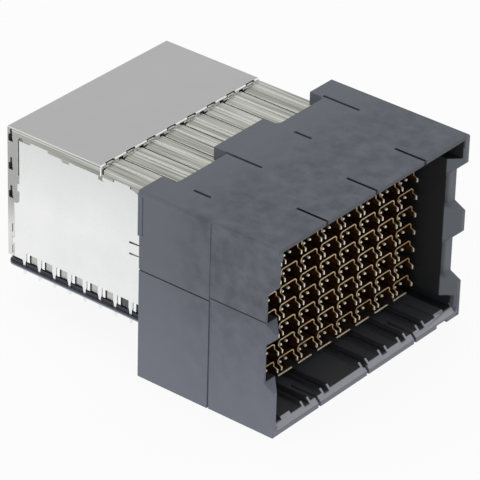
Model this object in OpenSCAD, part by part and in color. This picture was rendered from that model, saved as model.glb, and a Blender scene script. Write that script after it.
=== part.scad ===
// Right-angle shielded header: a moulded shroud with eight shielded wafers
// of seven contact pairs each, a folded cover and a tail organizer plate.
// The origin is on the mating face, in the middle of the columns, at the shroud's bottom edge.
// X runs across the columns, Y runs from the mating face to the rear, Z is up from the board.

/* [Contact grid] */
// Distance between neighbouring wafers
column_pitch = 4.5; // [4.4:0.05:4.8]
// Distance between neighbouring pairs, up the mating face and along the board
row_pitch = 2.925; // [2.85:0.025:3.2]
// Distance between the two pins of a pair
pair_spacing = 1.32; // [1.2:0.02:1.4]
// Height of the lowest pair of pins above the shroud's bottom
lowest_pin_z = 4.99; // [4.9:0.01:5.3]
// Distance of the pin tips behind the mating face
pin_tip_y = 6.76; // [6.6:0.02:7.2]

/* [Shroud] */
// Depth of the shroud from the mating face to the rear face
shroud_depth = 24.95; // [24.5:0.05:26]
// Width of a side wall beside the wafers
side_wall = 4.1; // [3.8:0.05:4.6]
// Thickness of the roof over the cavity
roof_t = 2.05; // [1.8:0.05:2.6]
// Thickness of the floor
floor_t = 1.4; // [1.3:0.05:1.7]
// Thickness of the side wall in front of the web, in the corners of the cavity
thin_wall = 1.1; // [0.9:0.05:1.4]
// Thickness of the side wall in front of the web, between the corners
thick_wall = 2.67; // [2.5:0.01:2.9]
// Distance of the web behind the mating face
web_y = 13.5; // [12.5:0.1:14]
// Thickness of the web
web_t = 2.5; // [2:0.1:2.8]
// Height of the open corner above the floor
low_corner_h = 2.2; // [1.9:0.05:2.5]
// Height of the open corner below the roof
high_corner_h = 1.75; // [1.5:0.05:2.2]
// Width of the flat rim at the mouth's sides
side_rim = 0.75; // [0.5:0.05:0.9]
// Width of the flat rim at the mouth's bottom
floor_rim = 0.7; // [0.5:0.05:1]
// Width of the flat rim at the mouth's top
roof_rim = 0.65; // [0.5:0.05:1]
// Chamfer along the roof's outer edges
roof_chamfer = 0.4; // [0.2:0.05:0.8]
// Distance of the keying notch in the mouth's bottom edge from the middle
key_x = 16.5; // [16:0.1:17]
// Width of the keying notch
key_w = 2.5; // [2:0.1:2.8]
// Height of the keying notch
key_h = 0.5; // [0.3:0.05:0.6]

/* [Roof slits and recesses] */
// Width of a slit
slit_w = 0.5; // [0.3:0.05:0.8]
// Length of a slit that starts at the mouth
front_slit_l = 5.4; // [4:0.1:7]
// Length of a slit behind the web
rear_slit_l = 3.1; // [2:0.1:4]
// Length of the roof's tabs past the recesses between them
tab_l = 2.65; // [2:0.05:3.2]
// Radius in the corners of a recess
recess_r = 0.8; // [0.4:0.05:1.2]
// Edge of the left recess beside the outer tab
left_recess_outer = 16.87; // [16:0.01:17.4]
// Edge of the left recess beside the middle tab
left_recess_inner = 5.5; // [5:0.05:6.5]
// Edge of the right recess beside the middle tab
right_recess_inner = 5.75; // [5:0.05:6.5]
// Edge of the right recess beside the outer tab
right_recess_outer = 16.5; // [16:0.01:17.4]

/* [Floor ribs] */
// Distance between the two ribs of a pair
rib_spacing = 1.5; // [1.3:0.02:1.8]
// Width of a rib
rib_w = 0.35; // [0.3:0.05:0.5]
// Height of a rib above the floor
rib_h = 0.5; // [0.4:0.05:0.8]
// Depth of the groove between the two ribs of a pair
rib_groove = 0.25; // [0.15:0.05:0.4]
// Edge of a corner pad beside the ribs, from the middle
pad_inner = 16.96; // [16.5:0.02:17.2]
// Width of a corner pad
pad_w = 2.06; // [1.8:0.02:2.2]
// Height of a corner pad above the floor
pad_h = 0.35; // [0.25:0.05:0.5]

/* [Outer sides] */
// Depth of the notches in the right wall
right_notch_d = 1.93; // [1.8:0.01:2.2]
// Depth of the notches in the left wall
left_notch_d = 1.86; // [1.6:0.02:2.2]
// Flat land between a left notch and the pocket behind it
notch_land = 0.5; // [0.4:0.05:0.7]
// Distance that the front part of each outer side is set back
side_relief = 0.08; // [0.05:0.01:0.15]
// Length of the set-back part
relief_l = 11.85; // [11:0.05:12.5]
// Width of the grooves along the outer sides
groove_w = 0.25; // [0.15:0.05:0.4]
// Depth of those grooves
groove_d = 0.25; // [0.15:0.05:0.35]
// Height of the groove along the rear part
rear_groove_z = 17.74; // [17:0.02:18]
// Height of the groove along the front part
front_groove_z = 18.24; // [18:0.02:19]
// Height of the longer upper part of each wall's rear edge
heel_z = 23.2; // [22:0.1:24]
// Distance that the rear edge is set back below it
heel_d = 0.3; // [0.2:0.05:0.4]

/* [Wafers] */
// Width of one wafer across the columns
wafer_w = 4.26; // [4.1:0.02:4.3]
// Distance of the nearest row of pair tails behind the shroud
first_tail = 6.15; // [6:0.05:6.6]
// Distance of the wafers' rear face behind the last row of pair tails
rear_margin = 4; // [3.8:0.05:4.5]
// Height of the lowest lead's run above the insulators' feet
lowest_run = 1.05; // [1:0.05:1.2]
// Height of the wafer above its highest lead
run_cover = 1.05; // [1:0.05:1.6]
// Clearance below the wafers in the shroud
wafer_drop = 0.2; // [0.1:0.05:0.3]
// Clearance between the wafer stack and each side wall
side_gap = 0.07; // [0.03:0.01:0.15]
// Height that the strips in front of the cover lie below the cover's underside
strip_drop = 0.17; // [0.1:0.01:0.25]
// Height of the ridge along each strip
ridge_h = 0.1; // [0.06:0.01:0.12]
// Width of the ridge
ridge_w = 0.3; // [0.2:0.05:0.5]

/* [Leads and insulators] */
// Thickness of a lead across the columns
lead_t = 0.34; // [0.25:0.01:0.4]
// Width of a lead along its strip
lead_w = 0.44; // [0.36:0.01:0.5]
// Length of the 45 degree corner of a lead
lead_corner = 0.65; // [0.6:0.05:0.7]
// Height of an insulator strip
insulator_h = 1.2; // [1:0.05:1.4]
// Clearance round an insulator strip in its channel
insulator_gap = 0.05; // [0.03:0.01:0.1]
// Width of a tail at its eye
tail_eye_w = 0.62; // [0.56:0.01:0.7]
// Length of a tail below the board seat
tail_l = 0.9; // [0.8:0.05:1.4]

/* [Pair shields] */
// Outer width of a shield
shield_w = 3.76; // [3.6:0.02:3.9]
// Thickness of the shield's sheet
shield_t = 0.2; // [0.18:0.01:0.25]
// Height of the shield's top above the pins
shield_top = 1.4; // [1.3:0.05:1.5]
// Depth of the shield's legs below the pins
shield_leg = 0.35; // [0.2:0.05:0.5]
// Outer radius of the shield's bends
shield_r = 0.6; // [0.4:0.05:0.8]
// Distance of the top's front edge behind the mating face
shield_top_y = 6.34; // [6.2:0.02:6.8]
// Distance of the legs' front edge behind the mating face
shield_leg_y = 5.6; // [5.5:0.02:5.9]
// Width of the ground blade below the lowest pair
blade_w = 3.1; // [2.8:0.05:3.4]
// Distance of the ground blade below the lowest pair
blade_drop = 1.74; // [1.6:0.02:1.8]

/* [Cover] */
// Thickness of the cover's sheet
cover_t = 0.34; // [0.25:0.01:0.36]
// Outer radius of the cover's bends
bend_r = 0.36; // [0.36:0.02:0.6]
// Distance of the cover's front edge behind the shroud
strip_l = 10.43; // [10:0.05:11]
// Depth of the flange along each side, below the cover's underside
flange_h = 1.3; // [1.1:0.05:1.5]
// Height of the back plate's lower edge above the organizer
cover_foot = 0.35; // [0.2:0.05:0.8]
// Clearance between the wafers' rear faces and the back plate
back_gap = 0.46; // [0.3:0.02:0.5]
// Width of the sides that are folded round the back, above their step
wide_wrap = 2.41; // [2.2:0.05:2.6]
// Width of the same sides below their step
narrow_wrap = 1.38; // [1.2:0.02:1.5]
// Height of the step above the shroud's bottom
wrap_step_z = 16.4; // [15.8:0.1:16.5]
// Height of a slot in the folded sides
wrap_slot_h = 2.1; // [1.8:0.05:2.15]
// Width of a notch in the cover's front edge
notch_w = 2; // [1.8:0.05:2.2]
// Depth of a notch in the cover's front edge
notch_d = 0.3; // [0.28:0.02:0.5]

/* [Organizer] */
// Height of the board seat above the shroud's bottom
seat_z = 5.75; // [5.5:0.05:5.85]
// Thickness of the wide lower layer
organizer_base_t = 0.55; // [0.4:0.05:0.6]
// Thickness of the narrow upper layer
organizer_top_t = 0.55; // [0.4:0.05:0.6]
// Distance that the lower layer stands out past the upper one
organizer_step = 0.2; // [0.1:0.05:0.3]
// Distance of the organizer's front edge behind the shroud
organizer_gap = 1.25; // [1:0.05:1.6]
// Distance that the organizer stands out past the wafers at the rear
organizer_rear = 0.6; // [0.5:0.05:0.8]

/* [Hidden] */
$fn = 32;
columns = 8;
rows = 7;
PER_WAFER = ["wafer_shell", "ground_plate", "pair_insulators", "signal_leads", "pair_shields", "ground_blade"];
// Overshoot of a cutting shape
eps = 0.5;
// Clearance round a part that slides into its neighbour
fit = 0.05;

// Clearances over the wafers, in their pocket and under the roof, and over the organizer
pocket_gap = 0.12;
roof_gap = 0.15;

// Heights and widths of the whole part
plate_t = cover_t;
organizer_z = seat_z + organizer_base_t + organizer_top_t;
wafer_foot = organizer_z + roof_gap;
// Height of the windows between the ground legs, and of the insulators' feet above them
plate_foot = wafer_foot + 1.5;
insulator_foot = plate_foot + 0.1;
lowest_run_z = insulator_foot + lowest_run;
wafer_top = lowest_run_z + (rows - 1) * row_pitch + run_cover;
strip_z = wafer_top - strip_drop;
pocket_top = strip_z + ridge_h + pocket_gap;
roof_z = wafer_top + roof_gap;
shroud_h = roof_z + roof_t;
stack_half = (columns - 1) / 2 * column_pitch + wafer_w / 2;
pocket_half = stack_half + side_gap;
shroud_half = pocket_half + side_wall;
slit_pitch = 2.5 * column_pitch;
wafer_y = web_y + web_t;
rise_y = wafer_y + 1.2;
wafer_bottom = floor_t + wafer_drop;
first_tail_y = shroud_depth + first_tail;
wafer_rear_y = first_tail_y + (rows - 1) * row_pitch + rear_margin;
// Rear face of a wafer's front block, which hangs below the board seat inside the shroud
block_y = shroud_depth - 0.3;
// Inner face of the ground plate, measured from the wafer's middle
plate_in = wafer_w / 2 - plate_t;
// Half width of the pins' insulator to the right of the wafer's middle
insulator_half = 1.1;
// Half width of the room for a pair of leads
pair_half = pair_spacing / 2 + lead_t / 2 + 0.1;
// Place of the ridge, measured from the wafer's middle
ridge_u = 0.37;
// Gap between the ledge or the ridge and the cover's front edge
strip_gap = 0.18;
leg_offset = row_pitch / 2;
tail_tip_z = seat_z - tail_l;
// Cover: its front edge, its back, the edges of its folded sides and its flange's lower edge
cover_front_y = shroud_depth + strip_l;
cover_in_y = wafer_rear_y + back_gap;
cover_y = cover_in_y + cover_t;
wide_y = cover_y - wide_wrap;
narrow_y = cover_y - narrow_wrap;
flange_z = wafer_top - flange_h;
plate_top = flange_z - fit;
// Tabs on both sides, each from a place near the front to one near the rear: one of the plate
// that rises into the flange, two of the cover that hang from it, and one of the plate under the strip
step_h = 0.4;
rise_tab = [tail_y(4.9), tail_y(6.08)];
drop_tab = [tail_y(3.52), tail_y(4.03)];
corner_tab = [cover_front_y - 0.45, cover_front_y + 0.45];
corner_h = 0.65;
strip_tab = [for (d = [5.02, 7.96]) shroud_depth + d];
// The plate's upper edge falls away towards the shroud
fall = [shroud_depth + 3.3, shroud_depth + 4.5];
fall_h = 0.55;
// Bites in the folded sides, filled by the plate: their depth, and their heights in the narrow and wide parts
bite_d = 0.38;
narrow_bite = [9.3, 10.4];
wide_bite = [18.4, 19.7];
// Chamfer at the lower corner of the wide part
step_chamfer = 0.55;
// The hook of each wafer in its notch of the cover's front edge, measured from the wafer's middle
hook = [-0.85, 0.4];
notch_u = -1.05;
// Rise of the notches' lower slope and fall of their upper slope, for each unit of depth
notch_rise = 0.52;
notch_fall = 0.95;
// Spans of the side walls' notches, counted in rows from the lowest pins
right_notches = [[0.3, 3.2], [4.36, 7.11]];
left_notches = [[0.82, 3.83], [4.1, 6.64]];

function column_x(k) = (k - (columns + 1) / 2) * column_pitch;
function pin_z(i) = lowest_pin_z + i * row_pitch;
function run_z(i) = lowest_run_z + i * row_pitch;
function tail_y(i) = first_tail_y + i * row_pitch;
function leg_y(i) = tail_y(i) - leg_offset;
function unit(v) = v / norm(v);
function reversed(points) = [for (i = [len(points) - 1:-1:0]) points[i]];
function arc(centre, r, a0, a1, steps) =
    [for (i = [0:steps]) let (a = a0 + (a1 - a0) * i / steps) centre + r * [cos(a), sin(a)]];

// One long side of a strip that follows a path, with mitred corners
function strip_side(path, half) = [
    for (i = [0:len(path) - 1])
        let (last = len(path) - 1,
             before = unit(path[max(i, 1)] - path[max(i, 1) - 1]),
             after = unit(path[min(i, last - 1) + 1] - path[min(i, last - 1)]),
             n1 = [-before[1], before[0]],
             n2 = [-after[1], after[0]])
        path[i] + half * (n1 + n2) / (1 + n1 * n2)];
function strip(path, w) = concat(strip_side(path, w / 2), reversed(strip_side(path, -w / 2)));

// The way of a lead through its wafer: straight in, up, back and down to its tail
function lead_way(i, front, foot) = [
    [front, pin_z(i)],
    [rise_y, pin_z(i)],
    [rise_y + run_z(i) - pin_z(i), run_z(i)],
    [tail_y(i) - lead_corner, run_z(i)],
    [tail_y(i), run_z(i) - lead_corner],
    [tail_y(i), foot]];

// Lower edge of the cover's side, from the back to the front, drawn in by a gap
function side_edge(gap) = [
    [narrow_y - gap, narrow_bite[0] + gap],
    [narrow_y + bite_d - gap, narrow_bite[0] + gap],
    [narrow_y + bite_d - gap, narrow_bite[1] - gap],
    [narrow_y - gap, narrow_bite[1] - gap],
    [narrow_y - gap, wrap_step_z - gap],
    [wide_y + step_chamfer - gap, wrap_step_z - gap],
    [wide_y - gap, wrap_step_z + step_chamfer - gap],
    [wide_y - gap, wide_bite[0] + gap],
    [wide_y + bite_d - gap, wide_bite[0] + gap],
    [wide_y + bite_d - gap, wide_bite[1] - gap],
    [wide_y - gap, wide_bite[1] - gap],
    [wide_y - gap, flange_z - gap],
    [rise_tab[1] - gap, flange_z - gap],
    [rise_tab[1] - gap, flange_z + step_h - gap],
    [rise_tab[0] + gap, flange_z + step_h - gap],
    [rise_tab[0] + gap, flange_z - gap],
    [drop_tab[1] + gap, flange_z - gap],
    [drop_tab[1] - step_h / 2 + gap, flange_z - step_h - gap],
    [drop_tab[0] + step_h / 2 - gap, flange_z - step_h - gap],
    [drop_tab[0] - gap, flange_z - gap],
    [corner_tab[1] + gap, flange_z - gap],
    [corner_tab[1] + gap, flange_z - corner_h - gap]];

// Extrudes an outline in Y and Z along X
module side_profile(x, t) {
    translate([x, 0, 0]) rotate([90, 0, 90]) linear_extrude(t) children();
}

// Extrudes an outline in X and Z along Y
module front_profile(y, depth) {
    translate([0, y + depth, 0]) rotate([90, 0, 0]) linear_extrude(depth) children();
}

module block(low, high) {
    translate(low) cube(high - low);
}

module slit(x, y0, y1, z0, z1) {
    block([x - slit_w / 2, y0, z0], [x + slit_w / 2, y1, z1]);
}

// A tapered notch in the front edge of a side wall, between two heights
module wall_notch(low, high, depth) {
    polygon([[-eps, low - notch_rise * eps], [depth, low + notch_rise * depth],
             [depth, high - notch_fall * depth], [-eps, high + notch_fall * eps]]);
}

// A pocket in the left wall's inner side, which widens the view through a notch from behind its flat land
module notch_pocket(low, high) {
    lean = 1.3;
    x0 = -shroud_half + notch_land;
    x1 = -shroud_half + thick_wall + eps;
    y = left_notch_d;
    z0 = low + notch_rise * y;
    z1 = high - notch_fall * y;
    translate([0, 0, z0]) linear_extrude(z1 - z0)
        polygon([[x0, y - eps], [x1, y - eps], [x1, y + lean * (x1 - x0)], [x0, y]]);
}

// A recess in the roof's rear edge, open to the rear, with round inner corners
module roof_recess(x0, x1) {
    y = shroud_depth - tab_l;
    translate([0, 0, pocket_top - eps]) linear_extrude(roof_t + 3 * eps)
        polygon(concat(
            arc([x0 + recess_r, y + recess_r], recess_r, 180, 270, 5),
            arc([x1 - recess_r, y + recess_r], recess_r, 270, 360, 5),
            [[x1, shroud_depth + eps], [x0, shroud_depth + eps]]));
}

// The mating cavity with its open corners and its lead-in slopes
module cavity() {
    thick_half = shroud_half - thick_wall;
    thin_half = shroud_half - thin_wall;
    mouth_half = shroud_half - side_rim;
    floor_slope = floor_t - floor_rim;
    roof_slope = roof_t - roof_rim;
    side_slope = mouth_half - thick_half;
    block([-thick_half, -eps, floor_t], [thick_half, web_y, roof_z]);
    block([-thin_half, -eps, floor_t], [thin_half, web_y, floor_t + low_corner_h]);
    block([-thin_half, -eps, roof_z - high_corner_h], [thin_half, web_y, roof_z]);
    translate([0, 0, floor_t]) linear_extrude(roof_z - floor_t)
        polygon([[-mouth_half - eps, -eps], [mouth_half + eps, -eps],
                 [thick_half, side_slope], [-thick_half, side_slope]]);
    side_profile(-thin_half, 2 * thin_half)
        polygon([[-eps, floor_rim - eps], [floor_slope, floor_t], [floor_slope, floor_t + eps],
                 [roof_slope, roof_z - eps], [roof_slope, roof_z], [-eps, roof_z + roof_slope + eps]]);
}

// Apertures in the web, one for each pair's shield and one for each ground blade
module web_apertures() {
    half = shield_w / 2 + 0.07;
    room = 0.1;
    for (k = [1:columns]) translate([column_x(k), 0, 0]) {
        for (i = [0:rows - 1])
            block([-half, web_y - eps, pin_z(i) - shield_leg - room],
                  [half, wafer_y + eps, pin_z(i) + shield_top + room]);
        block([-blade_w / 2 - room, web_y - eps, pin_z(0) - blade_drop - shield_t],
              [blade_w / 2 + room, wafer_y + eps, pin_z(0) - blade_drop + shield_t]);
    }
}

// A bar along the cavity floor, with a slope at its front end that continues the lead-in
module floor_bar(x, w, h) {
    start = floor_t - floor_rim;
    root = 0.2;
    side_profile(x - w / 2, w)
        polygon([[start, floor_t - root], [web_y + root, floor_t - root], [web_y + root, floor_t + h],
                 [start + h, floor_t + h], [start, floor_t]]);
}

// Pairs of ribs under the seams between wafers, and a pad in each corner
module floor_bars() {
    for (seam = [-3, -2, 0, 1, 2, 3], side = [-1, 1])
        floor_bar(seam * column_pitch + side * rib_spacing / 2, rib_w, rib_h);
    for (side = [-1, 1])
        floor_bar(side * (pad_inner + pad_w / 2), pad_w, pad_h);
}

// Grooves between the ribs of each pair, which cut into the lead-in slope
module rib_grooves() {
    half = (rib_spacing - rib_w) / 2;
    for (seam = [-3, -2, 0, 1, 2, 3])
        block([seam * column_pitch - half, floor_t - floor_rim - rib_groove, floor_t - rib_groove],
              [seam * column_pitch + half, web_y, floor_t + eps]);
}

// Core pockets that keep the side walls even in thickness behind the web
module core_pockets() {
    rim = 1.2;
    low = 2 * rim;
    pocket_l = (shroud_h - 2 * low - 2 * rim) / 3;
    for (side = [-1, 1], n = [0:2])
        translate([side * (pocket_half + side_wall / 2), 0, low + n * (pocket_l + rim)])
            block([-side_wall / 2 + rim, wafer_y + rim, 0], [side_wall / 2 - rim, shroud_depth + eps, pocket_l]);
}

// Fine grooves along the outer sides, the front part's set-back and the rear edge's heel
module side_reliefs() {
    edge_groove_y = shroud_depth - 1.05;
    wall_mid = pocket_half + side_wall / 2;
    for (side = [-1, 1]) {
        skin = side * shroud_half;
        block([skin - side_relief, -eps, -eps], [skin + side_relief, relief_l, shroud_h + eps]);
        block([skin - groove_d, relief_l, rear_groove_z - groove_w / 2],
              [skin + groove_d, shroud_depth + eps, rear_groove_z + groove_w / 2]);
        block([skin - groove_d, left_notch_d, front_groove_z - groove_w / 2],
              [skin + groove_d, relief_l - groove_w, front_groove_z + groove_w / 2]);
        block([skin - groove_d, relief_l - groove_w, -eps],
              [skin + groove_d, relief_l, front_groove_z + groove_w / 2]);
        block([skin - side_relief, edge_groove_y, heel_z + groove_w],
              [skin + side_relief, edge_groove_y + groove_w, shroud_h - 2 * roof_chamfer]);
        block([side * wall_mid - side_wall / 2, shroud_depth - heel_d, -eps],
              [side * wall_mid + side_wall / 2, shroud_depth + eps, heel_z]);
    }
}

module header_housing() {
    color("#5b606a") difference() {
        union() {
            difference() {
                block([-shroud_half, 0, 0], [shroud_half, shroud_depth, shroud_h]);
                cavity();
                block([-pocket_half, wafer_y, floor_t], [pocket_half, shroud_depth + eps, pocket_top]);
            }
            floor_bars();
        }
        rib_grooves();
        web_apertures();
        core_pockets();
        side_reliefs();
        // Notches through the side walls
        for (span = right_notches)
            side_profile(pocket_half, side_wall + eps)
                wall_notch(pin_z(span[0]), pin_z(span[1]), right_notch_d);
        for (span = left_notches) {
            side_profile(-shroud_half - eps, side_wall + eps)
                wall_notch(pin_z(span[0]), pin_z(span[1]), left_notch_d);
            notch_pocket(pin_z(span[0]), pin_z(span[1]));
        }
        // Slits through the roof and the floor
        for (n = [-1:1]) {
            slit(n * slit_pitch, -eps, front_slit_l, roof_z - eps, shroud_h + eps);
            slit(n * slit_pitch, -eps, front_slit_l, -eps, floor_t + eps);
        }
        for (n = [-1.5, -0.5, 0.5, 1.5])
            slit(n * slit_pitch, wafer_y + 0.1, wafer_y + 0.1 + rear_slit_l, pocket_top - eps, shroud_h + eps);
        for (x = [-0.5 * slit_pitch, 1.5 * slit_pitch])
            slit(x, wafer_y + 1, shroud_depth - tab_l + eps, pocket_top - eps, shroud_h + eps);
        roof_recess(-left_recess_outer, -left_recess_inner);
        roof_recess(right_recess_inner, right_recess_outer);
        // Keying notch in the bottom edge of the mouth
        block([key_x, -eps, -eps], [key_x + key_w, 2 * eps, key_h]);
        // Chamfers along the roof's outer edges
        for (side = [-1, 1])
            front_profile(-eps, shroud_depth + 2 * eps)
                translate([side * shroud_half, shroud_h]) rotate(45)
                    square(roof_chamfer * sqrt(2), center = true);
    }
}

// Outline of one bent shield in X and Z, measured from the pair's middle
module shield_outline() {
    half = shield_w / 2;
    inner_r = max(shield_r - shield_t, fit);
    corner = [half - shield_r, shield_top - shield_r];
    polygon(concat(
        [[half, -shield_leg]],
        arc(corner, shield_r, 0, 90, 5),
        arc([-corner[0], corner[1]], shield_r, 90, 180, 5),
        [[-half, -shield_leg], [-half + shield_t, -shield_leg]],
        arc([-corner[0], corner[1]], inner_r, 180, 90, 5),
        arc(corner, inner_r, 90, 0, 5),
        [[half - shield_t, -shield_leg]]));
}

// One inverted-U ground shield, whose legs step forward past its top
module pair_shield() {
    step_high = shield_top - 0.9;
    step_low = shield_top - 1.2;
    difference() {
        front_profile(shield_leg_y, wafer_y - shield_leg_y) shield_outline();
        side_profile(-shield_w, 2 * shield_w)
            polygon([[shield_leg_y - eps, shield_top + eps], [shield_leg_y - eps, step_low],
                     [shield_leg_y, step_low], [shield_top_y, step_high],
                     [shield_top_y, shield_top + eps]]);
    }
}

module pair_shields(k) {
    color("#c9b98c") for (i = [0:rows - 1])
        translate([column_x(k), 0, pin_z(i)]) pair_shield();
}

// Flat blade that closes the lowest pair's shield, with a bevelled front edge
module ground_blade(k) {
    t = shield_t;
    color("#c9b98c") translate([column_x(k), 0, pin_z(0) - blade_drop])
        side_profile(-blade_w / 2, blade_w)
            polygon([[shield_top_y, -t / 4], [shield_top_y, t / 4], [shield_top_y + t, t / 2],
                     [wafer_y, t / 2], [wafer_y, -t / 2], [shield_top_y + t, -t / 2]]);
}

// Outline of a press-fit tail below a given height, with the middle of its stem on the Z axis
module tail_outline(top) {
    half = lead_w / 2;
    eye = tail_eye_w / 2;
    eye_top = seat_z + 0.35;
    eye_low = seat_z - 0.3;
    eye_wide = [seat_z - 0.1, seat_z + 0.15];
    hole = 0.1;
    hole_wide = [eye_wide[0] + 0.02, eye_wide[1] - 0.03];
    difference() {
        polygon([[-half, top], [-half, eye_top], [-eye, eye_wide[1]], [-eye, eye_wide[0]],
                 [-half, eye_low], [-hole, tail_tip_z], [hole, tail_tip_z], [half, eye_low],
                 [eye, eye_wide[0]], [eye, eye_wide[1]], [half, eye_top], [half, top]]);
        polygon([[0, eye_top - fit], [-hole, hole_wide[1]], [-hole, hole_wide[0]],
                 [0, eye_low + fit], [hole, hole_wide[0]], [hole, hole_wide[1]]]);
    }
}

// One lead, stamped flat: a pin with a tapered tip, the bent run and the tail
module lead_outline(i) {
    taper = 0.7;
    tail_top = seat_z + 1;
    way = lead_way(i, pin_tip_y + taper, tail_top);
    polygon(concat(
        strip_side(way, lead_w / 2),
        reversed(strip_side(way, -lead_w / 2)),
        [[pin_tip_y, pin_z(i) - lead_w / 4], [pin_tip_y, pin_z(i) + lead_w / 4]]));
    translate([tail_y(i), 0]) tail_outline(tail_top);
}

module signal_leads(k) {
    color("#d8c48a") translate([column_x(k), 0, 0])
        for (i = [0:rows - 1], side = [-1, 1])
            side_profile(side * pair_spacing / 2 - lead_t / 2, lead_t) lead_outline(i);
}

// Moulded strips round the leads, each from the wafer's front face to the windows over its foot
module pair_insulators(k) {
    color("#2b2622") translate([column_x(k), 0, 0])
        for (i = [0:rows - 1]) difference() {
            side_profile(-plate_in + fit, plate_in + insulator_half - fit)
                polygon(strip(lead_way(i, wafer_y, insulator_foot), insulator_h));
            for (side = [-1, 1])
                side_profile(side * pair_spacing / 2 - lead_t / 2, lead_t)
                    polygon(strip(lead_way(i, wafer_y - eps, insulator_foot - eps), lead_w));
        }
}

// Outline of a wafer in Y and Z: the front block in the shroud and the body over the board
module wafer_outline() {
    polygon([[wafer_y, wafer_bottom], [block_y, wafer_bottom], [block_y, wafer_foot],
             [wafer_rear_y, wafer_foot], [wafer_rear_y, wafer_top], [cover_front_y, wafer_top],
             [cover_front_y, strip_z], [wafer_y, strip_z]]);
}

// Outline of the ledge along the strip's left side, over the ground plate's upper edge
module ledge_outline() {
    rear = cover_front_y - strip_gap;
    tab_gap = 0.2;
    polygon([[wafer_y, flange_z - fall_h], [fall[0], flange_z - fall_h], [fall[1], flange_z],
             [strip_tab[0] - tab_gap, flange_z], [strip_tab[0] - tab_gap, flange_z + step_h],
             [strip_tab[1] + tab_gap, flange_z + step_h], [strip_tab[1] + tab_gap, flange_z],
             [rear, flange_z], [rear, strip_z], [wafer_y, strip_z]]);
}

// Open channel for one pair, with a narrow way for its two leads through the wafer's foot
module pair_channel(i) {
    side_profile(-plate_in - eps, plate_in + eps + insulator_half + insulator_gap)
        polygon(strip(lead_way(i, wafer_y - eps, insulator_foot - insulator_gap), insulator_h + 2 * insulator_gap));
    block([-pair_half, tail_y(i) - lead_w / 2 - fit, wafer_foot - eps],
          [pair_half, tail_y(i) + lead_w / 2 + fit, insulator_foot]);
}

// Room on the right side for the cover's flange, its tabs and its folded side
module cover_room() {
    half = wafer_w / 2 + eps;
    low = flange_z - corner_h - fit;
    inside = plate_in - 0.02;
    block([inside, cover_front_y - fit, low], [half, wafer_rear_y + eps, wafer_top + eps]);
    block([inside, corner_tab[0] - fit, low], [half, cover_front_y, flange_z]);
    block([inside, wide_y - fit, wrap_step_z - fit], [half, wafer_rear_y + eps, wafer_top + eps]);
    block([inside, narrow_y - fit, wafer_foot - eps], [half, wafer_rear_y + eps, wafer_top + eps]);
}

// Conductive body of a wafer, with one open channel for each pair
module wafer_shell(k) {
    half = wafer_w / 2;
    hook_d = 0.12;
    hook_h = 0.25;
    // Posts beside the ground legs, seen through the windows, and a groove beside each
    post = [-0.95, -0.42];
    post_t = 0.2;
    groove = 0.15;
    taper_l = 0.7;
    color("#b4b3ab") translate([column_x(k), 0, 0]) difference() {
        union() {
            difference() {
                side_profile(-plate_in, plate_in + half) wafer_outline();
                for (i = [0:rows - 1])
                    pair_channel(i);
            }
            side_profile(-half, plate_t) ledge_outline();
            block([ridge_u - ridge_w / 2, wafer_y, strip_z - ridge_h],
                  [ridge_u + ridge_w / 2, cover_front_y - strip_gap, strip_z + ridge_h]);
            block([hook[0], cover_front_y - hook_d, strip_z - ridge_h],
                  [hook[1], cover_front_y + hook_d, wafer_top + hook_h]);
            for (i = [0:rows])
                block([-plate_in - post_t, leg_y(i) + post[0], wafer_foot],
                      [-plate_in, leg_y(i) + post[1], plate_foot - fit]);
        }
        cover_room();
        for (i = [0:rows])
            block([-plate_in - eps, leg_y(i) + post[0] - groove, wafer_foot - eps],
                  [-plate_in + 2 * groove, leg_y(i) + post[0], plate_foot + fit]);
        // Tapered gap between the strip's left corner and the cover
        translate([0, 0, wafer_top - 1]) linear_extrude(1 + eps)
            polygon([[-half - eps, cover_front_y - taper_l], [hook[0], cover_front_y - strip_gap],
                     [hook[0], cover_front_y - fit], [-half - eps, cover_front_y - fit]]);
    }
}

// Outline of a ground leg with its tail, with the leg's middle on the Z axis
module leg_outline() {
    half = 0.375;
    neck = wafer_foot - 0.2;
    shoulder = wafer_foot + 0.3;
    polygon([[-half, plate_foot + fit], [-half, shoulder], [-lead_w / 2, neck],
             [lead_w / 2, neck], [half, shoulder], [half, plate_foot + fit]]);
    tail_outline(neck);
}

// Stamped plate on the left side of a wafer, with eight legs that end in ground tails
module ground_plate(k) {
    front = wafer_y + 0.3;
    low = wafer_bottom + 0.2;
    rear_foot = wafer_foot + 0.2;
    // Two tapered slots near the shroud, each with its height at its rear end
    slot_y = [for (d = [1.9, 5.05]) shroud_depth + d];
    slot_ends = [0.1, 0.34];
    slot_rows = [4.54, 3.91];
    slot_lean = 0.09;
    color("#e6e6e4") translate([column_x(k), 0, 0])
        side_profile(-wafer_w / 2, plate_t) difference() {
            union() {
                polygon(concat(
                    [[front, low], [block_y - 0.1, low], [block_y - 0.1, plate_foot],
                     [leg_y(rows), plate_foot], [leg_y(rows), rear_foot], [narrow_y - fit, rear_foot]],
                    side_edge(fit),
                    [[corner_tab[0] - fit, flange_z - corner_h - fit], [corner_tab[0] - fit, plate_top],
                     [strip_tab[1], plate_top], [strip_tab[1], plate_top + step_h],
                     [strip_tab[0], plate_top + step_h], [strip_tab[0], plate_top],
                     [fall[1], plate_top], [fall[0], plate_top - fall_h], [front, plate_top - fall_h]]));
                for (i = [0:rows]) translate([leg_y(i), 0]) leg_outline();
            }
            for (row = slot_rows) let (z = pin_z(row))
                polygon([[slot_y[0], z + slot_lean], [slot_y[1], z - slot_ends[1] / 2],
                         [slot_y[1], z + slot_ends[1] / 2], [slot_y[0], z + slot_lean + slot_ends[0]]]);
        }
}

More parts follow.
